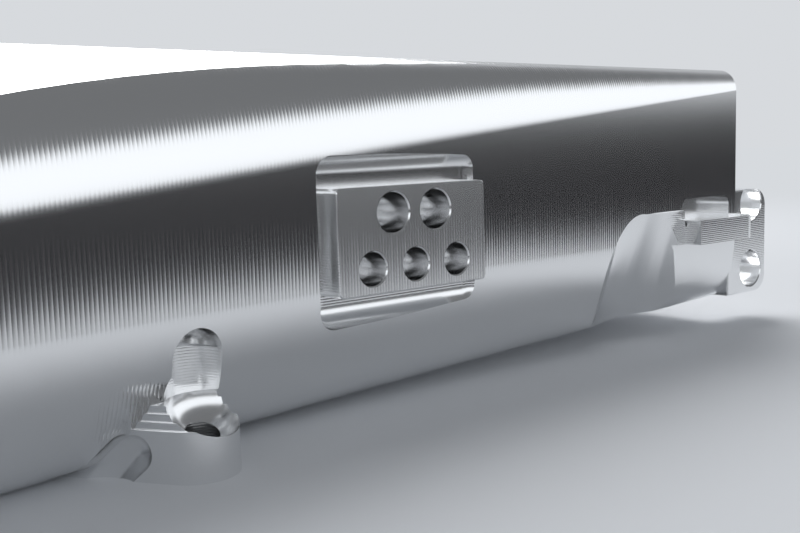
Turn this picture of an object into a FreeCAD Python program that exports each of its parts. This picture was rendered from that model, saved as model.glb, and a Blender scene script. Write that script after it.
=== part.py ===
import FreeCAD, Part
import math
import os

from FreeCAD import Vector

# Milled aluminium housing, one piece cut from a solid billet, in millimetres.
# X runs along the housing from the deep tail end to the slim nose end, Y runs across it,
# and Z = 0 is the sealing face it is bolted down on. The port pad is on the -Y flank.

# ---- Driving dimensions -------------------------------------------------------------

# Overall
overall_length = 417.0
top_height = 109.0
ear_reach = 27.0                # how far the end ear stands out past the nose

# Hull: a flat top over two bulged flanks, drawn as cross-sections along X
top_half_width = 73.5
nose_half_width = 82.0          # flank of the slim nose, measured from the centre plane
tail_flare = 42.0               # how much further out the flank stands at the tail
flare_power = 2.5
nose_shoulder = 9.0             # height of the shoulder round at the nose
tail_shoulder = 50.0            # and at the tail
nose_facet_angle = 6.0          # slope of the flat facet beside the top edge, degrees
tail_facet_angle = 36.0
bilge_start = 41.0              # height where the flank starts to turn under
nose_keel = 13.0                # height of the underside at the nose
keel_power = 1.8
nose_bilge = 8.0                # width of the lower round at the nose
tail_bilge = 36.0
bilge_power = 1.2
section_count = 9

# Base flange and the pocket milled up from below
flange_tail_half = 69.0
flange_nose_half = 44.0
flange_back = 87.5              # its nose end, measured back from the nose
flange_width = 12.0
flange_height = 24.0            # reaches up inside the hull
roof_thickness = 9.0
pocket_corner = 10.0

# Port pad on the flank, with a trench milled round it
pad_back = 190.0                # middle of the pad, back from the nose
pad_face = 95.0                 # distance of the pad face from the centre plane
pad_root = 4.0                  # how far the pad reaches into the metal behind the trench
pad_edge_break = 0.3
pad_length = 57.5
pad_height = 31.6
pad_bottom = 38.4
pad_corner = 1.6
trench_side = 5.0
trench_end = 9.3                # above and below the pad
trench_depth = 10.5
trench_round = 6.0              # the ball-nosed cutter leaves it at corners and floor alike

# Ports in the pad: two large over three small, all tapped and blind
port_row_height = 46.0
port_row_gap = 16.05
port_pitch = 16.45
large_thread = 12.0
small_thread = 10.0
countersink = 0.4               # width and depth of the 45 degree break at each tapped mouth
large_depth = 22.0
small_depth = 20.0
drill_point_angle = 118.0

# Bolt-down lugs, one on each flank
lug_back = 265.3                # bolt axis, back from the nose
lug_y = 97.2
lug_radius = 10.9
lug_nose_shift = 1.6            # the round nose is centred this much nearer the tail
lug_bore = 9.0
lug_wall = 13.4                 # height of the plain wall, below the cutter's steps
lug_step_rise = 1.97
lug_step_inset = 0.7
lug_steps = 3
lug_flare_angle = 34.0          # the tail side wall turns out from the Y direction by this
lug_root = 46.0
dish_radius = 10.8              # ball-nosed dish that the bolt head sits in
dish_bottom = 8.3
dish_forward = 3.5              # its centre is in front of the bolt axis by this
slot_radius = 7.7               # upright slot that a socket reaches the bolt through
slot_set_back = 3.5             # its axis is behind the bolt axis by this
slot_shelf = 30.5               # height where the slot's dome is set deeper into the flank
slot_top = 37.2
slot_dome_shift = 0.9
groove_radius = 6.0             # ball-nosed groove down the root of the lug's tail side
groove_top = (-20.0, 1.8, 7.2)          # centre of its round end, from the bolt axis
groove_run = (-4.5, 5.7, -6.7)          # direction that it runs down in
groove_length = 24.0

# Nose: underside bevel, scoop, shelf, stop tab with its relief, and end ear
bevel_top = 38.2
bevel_angle = 9.0
bevel_back = 63.5
scoop_back = 63.5
scoop_apex = 52.0
scoop_radius = 42.0
scoop_tilt = 19.0
shelf_back = 61.5
shelf_top = 51.8
shelf_proud = 1.5
shelf_root = 4.0
tab_back = 37.5
tab_past = 4.0                  # how far the tab runs on past the nose
tab_top = 47.8
tab_thickness = 9.6
tab_proud = 8.4
tab_round = 8.0
relief_back = 38.5
relief_short = 5.0              # metal left between the relief and the end face
relief_height = 8.6
relief_depth = 8.0
relief_corner = 4.0
ear_face = 80.0                 # distance of the ear's front face from the centre plane
ear_thickness = 14.0
ear_edge_break = 0.5
ear_bottom = 12.3
ear_top = 57.5
ear_corner = 7.0
ear_port_inset = 11.5           # port axes, measured in from the end of the ear
ear_port_low = 22.7
ear_port_gap = 28.9
ear_thread = 16.0

# ---- Values that follow from them -----------------------------------------------------

tail_x = -overall_length / 2.0
ear_end = overall_length / 2.0
nose_x = ear_end - ear_reach
body_length = nose_x - tail_x
pad_x = nose_x - pad_back
lug_x = nose_x - lug_back
bevel_x = nose_x - bevel_back
scoop_x = nose_x - scoop_back
shelf_start = nose_x - shelf_back
tab_start = nose_x - tab_back
tab_bottom = tab_top - tab_thickness
lug_top = lug_wall + lug_steps * lug_step_rise
clear = 40.0                    # how far a cutting tool runs out into the open
overlap = 1.0                   # how far joined pieces run into each other


def tailward(x):
    """0 at the nose and 1 at the tail."""
    return (nose_x - x) / body_length


def flank(x):
    return nose_half_width + tail_flare * tailward(x) ** flare_power


def shoulder(x):
    return nose_shoulder + (tail_shoulder - nose_shoulder) * tailward(x)


def facet_slope(x):
    angle = nose_facet_angle + (tail_facet_angle - nose_facet_angle) * tailward(x)
    return math.tan(math.radians(angle))


def keel(x):
    return nose_keel * (1.0 - tailward(x)) ** keel_power


def bilge(x):
    return nose_bilge + (tail_bilge - nose_bilge) * tailward(x) ** bilge_power


def spline(points, start, end):
    curve = Part.BSplineCurve()
    curve.interpolate(points, InitialTangent=start, FinalTangent=end)
    return curve.toShape()


def shoulder_points(x, side):
    """The elliptical shoulder, from the foot of the facet down to the upright flank."""
    across = flank(x) - top_half_width
    rise = shoulder(x)
    start = 2.0 * math.atan(facet_slope(x) * across / rise)
    steps = 6
    points = []
    for i in range(steps + 1):
        turn = start + (math.pi / 2.0 - start) * i / steps
        y = top_half_width + across * math.sin(turn)
        z = top_height - rise + rise * math.cos(turn)
        points.append(Vector(x, side * y, z))
    slope = Vector(0, side * across * math.cos(start), -rise * math.sin(start))
    return points, slope


def bilge_points(x, side):
    """The lower round, from the upright flank down to the flat underside."""
    drop = bilge_start - keel(x)
    steps = 6
    points = []
    for i in range(steps + 1):
        turn = math.pi / 2.0 * i / steps
        y = flank(x) - bilge(x) * (1.0 - math.cos(turn))
        z = bilge_start - drop * math.sin(turn)
        points.append(Vector(x, side * y, z))
    return points


def side_edges(x, side):
    """One side of a cross-section, from the top edge down to the underside."""
    crest = Vector(x, side * top_half_width, top_height)
    upper, slope = shoulder_points(x, side)
    lower = bilge_points(x, side)
    down = Vector(0, 0, -1)
    inward = Vector(0, -side, 0)
    return [
        Part.makeLine(crest, upper[0]),
        spline(upper, slope.normalize(), down),
        Part.makeLine(upper[-1], lower[0]),
        spline(lower, down, inward),
    ]


def cross_section(x):
    front = side_edges(x, -1)
    back = side_edges(x, 1)
    top = Part.makeLine(back[0].Vertexes[0].Point, front[0].Vertexes[0].Point)
    low_front = Vector(x, -(flank(x) - bilge(x)), keel(x))
    low_back = Vector(x, flank(x) - bilge(x), keel(x))
    under = Part.makeLine(low_front, low_back)
    return Part.Wire([top] + front + [under] + back[::-1])


def hull():
    sections = []
    for i in range(section_count):
        sections.append(cross_section(tail_x + body_length * i / (section_count - 1)))
    return Part.makeLoft(sections, True, False)


def plate_of(points, thickness):
    """A prism up along Z from a closed outline of points."""
    face = Part.Face(Part.makePolygon(points + [points[0]]))
    return face.extrude(Vector(0, 0, thickness))


def tapered_plate(inset, bottom, height):
    """The flange outline, drawn in by an inset, as a prism from bottom up."""
    start = tail_x + inset
    end = nose_x - flange_back - inset
    outline = [
        Vector(start, -(flange_tail_half - inset), bottom),
        Vector(end, -(flange_nose_half - inset), bottom),
        Vector(end, flange_nose_half - inset, bottom),
        Vector(start, flange_tail_half - inset, bottom),
    ]
    return plate_of(outline, height)


def upright_edges(shape):
    """The straight edges of a shape that run along Z."""
    found = []
    for edge in shape.Edges:
        run = edge.Vertexes[-1].Point - edge.Vertexes[0].Point
        if abs(run.z) > 1.0 and math.hypot(run.x, run.y) < 0.001:
            found.append(edge)
    return found


def edges_at(shape, axis, value):
    """The edges whose whole length lies at one X, Y or Z."""
    found = []
    for edge in shape.Edges:
        box = edge.BoundBox
        low = (box.XMin, box.YMin, box.ZMin)[axis]
        high = (box.XMax, box.YMax, box.ZMax)[axis]
        if abs(low - value) < 0.01 and abs(high - value) < 0.01:
            found.append(edge)
    return found


def rounded_block(x0, x1, z0, z1, y0, y1, corner, square_below=-overall_length):
    """A block whose edges along Y are rounded, apart from those below one X."""
    block = Part.makeBox(x1 - x0, y1 - y0, z1 - z0, Vector(x0, y0, z0))
    along_y = []
    for edge in block.Edges:
        run = edge.Vertexes[-1].Point - edge.Vertexes[0].Point
        if abs(run.y) > 0.5 and edge.Vertexes[0].Point.x > square_below:
            along_y.append(edge)
    return block.makeFillet(corner, along_y)


def inner_pocket():
    height = top_height - roof_thickness
    pocket = tapered_plate(flange_width, 0.0, height)
    return pocket.makeFillet(pocket_corner, upright_edges(pocket))


def pad_block():
    """The pad, from deep in the flank out to its machined face."""
    root = pad_face - trench_depth - pad_root
    block = rounded_block(
        pad_x - pad_length / 2.0, pad_x + pad_length / 2.0,
        pad_bottom, pad_bottom + pad_height, -pad_face, -root, pad_corner)
    return block.makeChamfer(pad_edge_break, edges_at(block, 1, -pad_face))


def pad_trench():
    """The trench round the pad, as one sunken block with a ball-nosed round at its floor."""
    floor = -(pad_face - trench_depth)
    sunk = rounded_block(
        pad_x - pad_length / 2.0 - trench_side, pad_x + pad_length / 2.0 + trench_side,
        pad_bottom - trench_end, pad_bottom + pad_height + trench_end,
        floor - clear, floor, trench_round)
    return sunk.makeFillet(trench_round * 0.98, edges_at(sunk, 1, floor))


def tapped_hole(x, y, z, diameter, depth):
    """A tapped hole that runs in along +Y from its mouth, drilled blind, with a broken edge."""
    inward = Vector(0, 1, 0)
    radius = diameter / 2.0
    bore = Part.makeCylinder(radius, depth, Vector(x, y, z), inward)
    tip_length = radius / math.tan(math.radians(drill_point_angle / 2.0))
    tip = Part.makeCone(radius, 0.0, tip_length, Vector(x, y + depth, z), inward)
    lip = Part.makeCone(radius + countersink, radius, countersink, Vector(x, y, z), inward)
    return bore.fuse([tip, lip])


def pad_ports():
    holes = []
    upper = port_row_height + port_row_gap
    for step in (-0.5, 0.5):
        holes.append(tapped_hole(pad_x + step * port_pitch, -pad_face, upper,
                                 large_thread, large_depth))
    for step in (-1, 0, 1):
        holes.append(tapped_hole(pad_x + step * port_pitch, -pad_face, port_row_height,
                                 small_thread, small_depth))
    return holes


def lug_plate(inset, bottom, height):
    """One level of the -Y lug: a round nose, and a wall that flares out on the tail side."""
    turn = math.radians(lug_flare_angle)
    radius = lug_radius - inset
    nose_at = lug_x - lug_nose_shift
    touch_x = radius * math.cos(turn)
    touch_y = -lug_y - radius * math.sin(turn)
    root_y = -lug_y + lug_root
    spread = (root_y - touch_y) * math.tan(turn)
    web = plate_of([
        Vector(nose_at - touch_x, touch_y, bottom),
        Vector(nose_at, -lug_y, bottom),
        Vector(nose_at + radius, -lug_y, bottom),
        Vector(nose_at + radius, root_y, bottom),
        Vector(nose_at - touch_x - spread, root_y, bottom),
    ], height)
    nose = Part.makeCylinder(radius, height, Vector(nose_at, -lug_y, bottom))
    return nose.fuse(web)


def lug():
    """The -Y lug, with the steps that the cutter leaves above its wall."""
    levels = []
    for i in range(lug_steps):
        bottom = lug_wall + i * lug_step_rise - overlap
        levels.append(lug_plate((i + 1) * lug_step_inset, bottom, lug_step_rise + overlap))
    return lug_plate(0.0, 0.0, lug_wall).fuse(levels)


def lug_groove():
    """A ball-nosed pass down the root of the lug's tail side, round at its upper end."""
    start = Vector(lug_x, -lug_y, 0) + Vector(*groove_top)
    run = Vector(*groove_run)
    pass_down = Part.makeCylinder(groove_radius, groove_length, start, run)
    return pass_down.fuse(Part.makeSphere(groove_radius, start))


def driver_slot():
    """The slot over the dish, open to the front; its dome is set deeper into the flank."""
    axis_y = -lug_y + slot_set_back
    height = slot_shelf - lug_top
    back = Part.makeCylinder(slot_radius, height, Vector(lug_x, axis_y, lug_top))
    front = Part.makeBox(2.0 * slot_radius, clear, height,
                         Vector(lug_x - slot_radius, axis_y - clear, lug_top))
    dome_at = Vector(lug_x, axis_y + slot_dome_shift, slot_top - slot_radius)
    dome = Part.makeSphere(slot_radius, dome_at, Vector(0, 1, 0))
    arch = Part.makeCylinder(slot_radius, clear, dome_at, Vector(0, -1, 0))
    below = Part.makeBox(2.0 * clear, 2.0 * clear, clear,
                         Vector(lug_x - clear, axis_y - clear - overlap, slot_shelf - clear))
    return back.fuse([front, dome.fuse(arch).cut(below)])


def lug_cuts():
    """The bolt hole, the dish for its head, the driver slot over them and the root groove."""
    bore = Part.makeCylinder(lug_bore / 2.0, lug_wall + overlap, Vector(lug_x, -lug_y, -overlap))
    dish_at = Vector(lug_x, -lug_y - dish_forward, dish_bottom + dish_radius)
    dish = Part.makeSphere(dish_radius, dish_at, Vector(0, 1, 0))
    return [bore, dish, driver_slot(), lug_groove()]


def nose_bevel():
    """The underside of the nose leans in below a crisp line."""
    lean = math.tan(math.radians(bevel_angle)) * bevel_top
    outer = nose_half_width + clear
    wide = flank(bevel_x)
    points = [
        Vector(bevel_x, -wide, bevel_top),
        Vector(bevel_x, -outer, bevel_top),
        Vector(bevel_x, -outer, 0),
        Vector(bevel_x, -(wide - lean), 0),
    ]
    face = Part.Face(Part.makePolygon(points + [points[0]]))
    return face.extrude(Vector(bevel_back + overlap, 0, 0))


def scoop():
    """A wide shallow scoop that runs out upwards on the flank."""
    tilt = math.radians(scoop_tilt)
    axis = Vector(0, -math.sin(tilt), math.cos(tilt))
    start_y = -(flank(scoop_x)) - scoop_radius / math.cos(tilt)
    apex = Vector(scoop_x, start_y, scoop_apex)
    base = apex - axis * (scoop_apex + clear)
    return Part.makeCylinder(scoop_radius, scoop_apex + 2.0 * clear, base, axis)


def shelf():
    wall = flank(tab_start)
    return Part.makeBox(shelf_back - tab_back + overlap, shelf_root + shelf_proud,
                        shelf_top - tab_bottom,
                        Vector(shelf_start, -(wall + shelf_proud), tab_bottom))


def tab():
    wall = flank(tab_start)
    block = Part.makeBox(tab_back + tab_past, tab_proud + relief_depth, tab_thickness,
                         Vector(tab_start, -(wall + tab_proud), tab_bottom))
    outer = []
    for edge in upright_edges(block):
        at = edge.Vertexes[0].Point
        if at.x > nose_x and at.y < -wall:
            outer.append(edge)
    return block.makeFillet(tab_round, outer)


def tab_relief():
    """The pocket over the tab; its lower corners are buried in the tab, which goes in after."""
    wall = flank(tab_start)
    return rounded_block(nose_x - relief_back, nose_x - relief_short,
                         tab_top - relief_corner, tab_top + relief_height,
                         -(wall + clear), -(wall - relief_depth), relief_corner)


def ear():
    """The ear that stands out from the end face, rounded on its outer corners."""
    plate = rounded_block(nose_x - 2.0 * overlap, ear_end, ear_bottom, ear_top,
                          -ear_face, -(ear_face - ear_thickness), ear_corner, nose_x)
    return plate.makeChamfer(ear_edge_break, edges_at(plate, 1, -ear_face))


def ear_ports():
    through = ear_thickness + overlap
    x = ear_end - ear_port_inset
    return [tapped_hole(x, -ear_face, z, ear_thread, through)
            for z in (ear_port_low, ear_port_low + ear_port_gap)]


def mirrored(shape):
    return shape.mirror(Vector(0, 0, 0), Vector(0, 1, 0))


def housing():
    body = hull()
    body = body.fuse(tapered_plate(0.0, 0.0, flange_height))
    front_lug = lug()
    body = body.fuse([front_lug, mirrored(front_lug), shelf()])
    body = body.cut(nose_bevel())
    body = body.cut(scoop())
    body = body.cut(tab_relief())
    body = body.fuse([tab(), ear()])
    body = body.cut(pad_trench())
    body = body.fuse(pad_block())
    cuts = lug_cuts()
    cuts += [mirrored(cut) for cut in cuts]
    body = body.cut(cuts + pad_ports() + ear_ports())
    return body.cut(inner_pocket())


os.makedirs("parts", exist_ok=True)
shape = housing()
shape.exportStep("parts/milled_housing.step")
print("milled_housing valid", shape.isValid(), "solids", len(shape.Solids),
      "volume", round(shape.Volume / 1000.0, 1), "cm3", shape.BoundBox)
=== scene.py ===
import math

import bmesh
import bpy
from mathutils import Matrix, Vector


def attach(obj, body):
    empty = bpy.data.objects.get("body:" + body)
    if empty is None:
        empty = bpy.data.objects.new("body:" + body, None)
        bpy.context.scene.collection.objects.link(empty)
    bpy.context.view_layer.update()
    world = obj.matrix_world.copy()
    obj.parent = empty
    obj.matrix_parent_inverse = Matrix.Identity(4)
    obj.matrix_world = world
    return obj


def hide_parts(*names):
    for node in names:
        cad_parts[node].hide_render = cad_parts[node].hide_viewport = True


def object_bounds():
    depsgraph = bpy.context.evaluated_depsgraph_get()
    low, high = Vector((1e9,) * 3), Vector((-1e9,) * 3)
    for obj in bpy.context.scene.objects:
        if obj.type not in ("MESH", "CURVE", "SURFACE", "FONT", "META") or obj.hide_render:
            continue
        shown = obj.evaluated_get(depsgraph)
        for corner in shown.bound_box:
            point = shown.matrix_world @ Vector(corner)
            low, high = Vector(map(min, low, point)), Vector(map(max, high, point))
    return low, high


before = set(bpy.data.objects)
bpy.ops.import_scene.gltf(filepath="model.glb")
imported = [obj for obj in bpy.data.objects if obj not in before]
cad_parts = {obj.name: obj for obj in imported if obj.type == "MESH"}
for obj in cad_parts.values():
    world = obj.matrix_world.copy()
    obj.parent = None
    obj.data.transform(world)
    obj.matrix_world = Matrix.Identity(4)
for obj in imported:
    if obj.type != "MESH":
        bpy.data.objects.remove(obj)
cad_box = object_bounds()

# ---- Housing body ----
# One billet of aluminium, milled all over. Its flanks bulge out towards the tail and turn
# under to the sealing face; a ball-nosed cutter finished them, pass by pass along the part.

ear_reach = 0.027
tail_x = cad_box[0][0]
nose_x = cad_box[1][0] - ear_reach
top_height = cad_box[1][2]
top_half_width = 0.0735
nose_half_width = 0.082
tail_flare = 0.042
flare_power = 2.5
shoulder_sizes = (0.009, 0.050)
facet_angles = (6.0, 36.0)
bilge_start = 0.041
nose_keel = 0.013
keel_power = 1.8
bilge_sizes = (0.008, 0.036)
bilge_power = 1.2


def flank_width(x, z):
    """How far the bulged flank stands from the centre plane at one station and height."""
    u = min(max((nose_x - x) / (nose_x - tail_x), 0.0), 1.0)
    flank = nose_half_width + tail_flare * u ** flare_power
    shoulder = shoulder_sizes[0] + (shoulder_sizes[1] - shoulder_sizes[0]) * u
    slope = math.tan(math.radians(facet_angles[0] + (facet_angles[1] - facet_angles[0]) * u))
    keel = nose_keel * (1.0 - u) ** keel_power
    bilge = bilge_sizes[0] + (bilge_sizes[1] - bilge_sizes[0]) * u ** bilge_power
    if z > top_height - shoulder:
        climb = min((z - top_height + shoulder) / shoulder, 1.0)
        round_side = top_half_width + (flank - top_half_width) * math.sqrt(1.0 - climb ** 2)
        return min(round_side, top_half_width + (top_height - z) / slope)
    if z < bilge_start:
        drop = min((bilge_start - z) / (bilge_start - keel), 1.0)
        return flank - bilge * (1.0 - math.sqrt(1.0 - drop ** 2))
    return flank


def flank_normal(point):
    """The way the bulged flank faces beside a point."""
    x, y, z = point
    step = 0.00005
    lean_x = (flank_width(x + step, z) - flank_width(x - step, z)) / (2.0 * step)
    lean_z = (flank_width(x, z + step) - flank_width(x, z - step)) / (2.0 * step)
    return Vector((-lean_x, math.copysign(1.0, y), -lean_z)).normalized()


weld_distance = 0.000002
sharp_angle = math.radians(28.0)
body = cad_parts["milled_housing"].copy()
body.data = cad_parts["milled_housing"].data.copy()
body.name = "housing_body"
bpy.context.collection.objects.link(body)
body_mesh = bmesh.new()
body_mesh.from_mesh(body.data)
bmesh.ops.remove_doubles(body_mesh, verts=body_mesh.verts, dist=weld_distance)
for face in body_mesh.faces:
    face.smooth = True
body_mesh.to_mesh(body.data)
body_mesh.free()
if "custom_normal" in body.data.attributes:
    body.data.attributes.remove(body.data.attributes["custom_normal"])
body.data.set_sharp_from_angle(angle=sharp_angle)
body.data.materials.clear()
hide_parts("milled_housing")
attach(body, "root")


flank_slack = 0.0003       # how far a facet's corners may stand off the true flank
flank_agreement = 0.97     # least cosine between a facet's normal and the flank's
lowest_flank = 0.002


def on_flank(face):
    """Whether a face is part of the bulged flank."""
    for vertex in face.vertices:
        x, y, z = body.data.vertices[vertex].co
        if abs(abs(y) - flank_width(x, z)) > flank_slack:
            return False
    agreement = face.normal.dot(flank_normal(face.center))
    return agreement > flank_agreement and face.center.z > lowest_flank


flank_faces = [face for face in body.data.polygons if on_flank(face)]
normals = [(0.0, 0.0, 0.0)] * len(body.data.loops)
for face in flank_faces:
    for loop, vertex in zip(face.loop_indices, face.vertices):
        # Just inside the face, so that a corner on an edge takes this face's side of it.
        beside = body.data.vertices[vertex].co.lerp(face.center, 0.05)
        normals[loop] = flank_normal(beside)
body.data.normals_split_custom_set(normals)

# ---- Tool marks ----
# The flank shows the passes of a ball-nosed cutter, the pad's face a finer milling and the low
# upright walls the steps of a side cutter. Each mark tilts the shading normal by its slope.


class Wire:
    """A socket in a node tree. Arithmetic on it adds Math nodes."""

    def __init__(self, tree, socket):
        self.tree = tree
        self.socket = socket

    def node(self, kind, settings, values):
        """Adds a node, sets it up, and fills or links its sockets."""
        new = self.tree.nodes.new(kind)
        for key, value in settings.items():
            setattr(new, key, value)
        for key, value in values.items():
            if isinstance(value, Wire):
                self.tree.links.new(value.socket, new.inputs[key])
            else:
                new.inputs[key].default_value = value
        return new

    def out(self, kind, settings, values, name=0):
        return Wire(self.tree, self.node(kind, settings, values).outputs[name])

    def math(self, operation, *values):
        return self.out("ShaderNodeMath", {"operation": operation}, dict(enumerate(values)))

    def __add__(self, other):
        return self.math("ADD", self, other)

    __radd__ = __add__

    def __sub__(self, other):
        return self.math("SUBTRACT", self, other)

    def __rsub__(self, other):
        return self.math("SUBTRACT", other, self)

    def __mul__(self, other):
        return self.math("MULTIPLY", self, other)

    __rmul__ = __mul__

    def __truediv__(self, other):
        return self.math("DIVIDE", self, other)

    def vector(self, operation, *values):
        settings = {"operation": operation}
        return self.out("ShaderNodeVectorMath", settings, dict(enumerate(values)))

    def between(self, low, high):
        """0 below low, 1 above high, and a smooth step from one to the other."""
        settings = {"interpolation_type": "SMOOTHSTEP", "clamp": True}
        return self.out("ShaderNodeMapRange", settings, {0: self, 1: low, 2: high})

    def feed(self, shader, name):
        self.tree.links.new(self.socket, shader.inputs[name])


def bare_aluminium(name, roughness):
    """A metal shader in a new material, ready for its tool marks."""
    material = bpy.data.materials.new(name)
    material.use_nodes = True
    shader = material.node_tree.nodes["Principled BSDF"]
    shader.inputs["Base Color"].default_value = (0.88, 0.885, 0.89, 1.0)
    shader.inputs["Metallic"].default_value = 1.0
    shader.inputs["Roughness"].default_value = roughness
    body.data.materials.append(material)
    return Wire(material.node_tree, None), shader


def object_axes(w):
    """The object's X, Y and Z as three wires."""
    place = w.out("ShaderNodeTexCoord", {}, {}, "Object")
    split = w.node("ShaderNodeSeparateXYZ", {}, {0: place})
    return [Wire(w.tree, split.outputs[axis]) for axis in "XYZ"]


def cusps(along, pitch, cutter):
    """The slope of the hollows that passes of a round cutter leave, and each one's number."""
    turns = along / pitch
    return (turns.math("FRACT", turns) - 0.5) * (pitch / cutter), turns.math("FLOOR", turns)


def lean(w, shader, x=0.0, y=0.0, z=0.0):
    """Tilts the shading normal by small slopes along the object's axes."""
    normal = w.out("ShaderNodeNewGeometry", {}, {}, "Normal")
    sway = w.out("ShaderNodeCombineXYZ", {}, {0: x, 1: y, 2: z})
    w.vector("NORMALIZE", w.vector("ADD", normal, sway)).feed(shader, "Normal")


flank_pitch, flank_cutter = 0.00125, 0.0055
w, shader = bare_aluminium("ball_milled_flank", 0.14)
slope, number = cusps(object_axes(w)[0], flank_pitch, flank_cutter)
chance = w.out("ShaderNodeTexWhiteNoise", {"noise_dimensions": "1D"}, {"W": number})
lean(w, shader, x=slope + (chance - 0.5) * 0.02)

bare_aluminium("end_milled", 0.2)

pad_pitch, pad_cutter = 0.00104, 0.004
w, shader = bare_aluminium("pad_face_milling", 0.22)
slope, number = cusps(object_axes(w)[0], pad_pitch, pad_cutter)
chance = w.out("ShaderNodeTexWhiteNoise", {"noise_dimensions": "1D"}, {"W": number})
lean(w, shader, x=slope + (chance - 0.5) * 0.06)

wall_pitch, wall_cutter = 0.0008, 0.006
w, shader = bare_aluminium("side_milled_wall", 0.18)
slope = cusps(object_axes(w)[2], wall_pitch, wall_cutter)[0]
lean(w, shader, z=slope)

ball_milled, end_milled, pad_milled, side_milled = range(4)
pad_face_y = -0.095
wall_top = 0.05
for face in body.data.polygons:
    face.material_index = end_milled
for face in flank_faces:
    face.material_index = ball_milled
for face in body.data.polygons:
    spot = face.center
    upright = abs(face.normal.z) < 0.02
    if face.normal.y < -0.99 and abs(spot.y - pad_face_y) < 0.0001:
        face.material_index = pad_milled
    elif face.material_index == end_milled and upright and spot.z < wall_top:
        face.material_index = side_milled

# ---- Floor ----
# A pale paper floor that fades into the backdrop far away. On its near side the metal sees
# a painted dark reflection instead: a dark emission, shown to glossy rays only, that stands in
# for dark surroundings.

floor_radius = 6.0
floor_mesh = bmesh.new()
bmesh.ops.create_circle(floor_mesh, cap_ends=True, segments=96, radius=floor_radius)
floor_data = bpy.data.meshes.new("floor")
floor_mesh.to_mesh(floor_data)
floor_mesh.free()
floor = bpy.data.objects.new("floor", floor_data)
bpy.context.collection.objects.link(floor)

backdrop_colour = (0.675, 0.70, 0.73, 1.0)
paper = bpy.data.materials.new("floor_paper")
paper.use_nodes = True
tree = paper.node_tree
w = Wire(tree, None)
shader = tree.nodes["Principled BSDF"]
shader.inputs["Base Color"].default_value = (0.74, 0.76, 0.79, 1.0)
shader.inputs["Roughness"].default_value = 0.9
place = w.out("ShaderNodeTexCoord", {}, {}, "Object")
ahead = w.out("ShaderNodeSeparateXYZ", {}, {0: place}, "Y")
painted_reflection_zone = 1.0 - ahead.between(-0.36, -0.29)
reach = w.out("ShaderNodeVectorMath", {"operation": "LENGTH"}, {0: place}, "Value")
far = reach.between(0.5, 1.3)
seen = w.out("ShaderNodeLightPath", {}, {}, "Is Camera Ray")
glossy = w.out("ShaderNodeLightPath", {}, {}, "Is Glossy Ray")
# Painted reflection: the dark emission that glossy rays see on the floor's near side.
painted_dark_reflection_colour = (0.020, 0.019, 0.021, 1.0)
painted_dark_reflection = w.out("ShaderNodeEmission", {}, {"Color": painted_dark_reflection_colour, "Strength": 1.0})
haze = w.out("ShaderNodeEmission", {}, {"Color": backdrop_colour, "Strength": 1.0})
lit = Wire(tree, shader.outputs[0])
lit = w.out("ShaderNodeMixShader", {}, {0: seen * far, 1: lit, 2: haze})
lit = w.out("ShaderNodeMixShader", {}, {0: glossy * painted_reflection_zone, 1: lit, 2: painted_dark_reflection})
lit.feed(tree.nodes["Material Output"], "Surface")
floor_data.materials.append(paper)

# ---- Light ----
# A long bright strip low down, darkness under it and a dim ceiling, with a pale backdrop on
# the side that the camera looks towards, and one soft box overhead.

world = bpy.data.worlds.new("studio")
bpy.context.scene.world = world
world.use_nodes = True
tree = world.node_tree
w = Wire(tree, None)
direction = w.out("ShaderNodeTexCoord", {}, {}, "Generated")
parts = w.node("ShaderNodeSeparateXYZ", {}, {0: direction})
rise = Wire(tree, parts.outputs["Z"])
strip = rise.between(0.02, 0.07) * (1.0 - rise.between(0.38, 0.50))
ceiling = rise.between(0.38, 0.50) * 0.16
level = 0.018 + strip * 1.1 + ceiling
away = w.out("ShaderNodeVectorMath", {"operation": "DOT_PRODUCT"},
             {0: direction, 1: (0.63, 0.77, 0.0)}, "Value").between(0.45, 0.75)
level = level * (1.0 - away) + away * 0.52
seen = w.out("ShaderNodeLightPath", {}, {}, "Is Camera Ray")
level = level * (1.0 - seen) + seen * 0.70
background = tree.nodes["Background"]
level.feed(background, "Strength")
background.inputs["Color"].default_value = (0.97, 1.0, 1.04, 1.0)

lamp_data = bpy.data.lights.new("overhead_softbox", "AREA")
lamp_data.shape = "RECTANGLE"
lamp_data.size = 1.6
lamp_data.size_y = 1.0
lamp_data.energy = 24.0
lamp = bpy.data.objects.new("overhead_softbox", lamp_data)
lamp.location = (0.35, 0.9, 1.4)
lamp_aim = Vector((0.0, -0.1, 0.0)) - lamp.location
lamp.rotation_euler = lamp_aim.to_track_quat("-Z", "Y").to_euler()
bpy.context.collection.objects.link(lamp)

# ---- Camera and view ----
# A low, close viewpoint beside the tail, looking along the flank towards the nose.

camera_data = bpy.data.cameras.new("camera")
camera_data.lens = 45.31
camera_data.sensor_width = 36.0
camera_data.clip_start = 0.01
camera = bpy.data.objects.new("camera", camera_data)
bpy.context.collection.objects.link(camera)
viewpoint = (-0.2022, -0.3255, 0.0818)
sight = Vector((0.6258, 0.7706, -0.1202)).normalized()
upward = Vector((0.0998, 0.0737, 0.9923))
right = sight.cross(upward).normalized()
turn = Matrix((right, right.cross(sight), -sight)).transposed().to_4x4()
camera.matrix_world = Matrix.Translation(viewpoint) @ turn
bpy.context.scene.camera = camera
bpy.context.scene.view_settings.view_transform = "Standard"
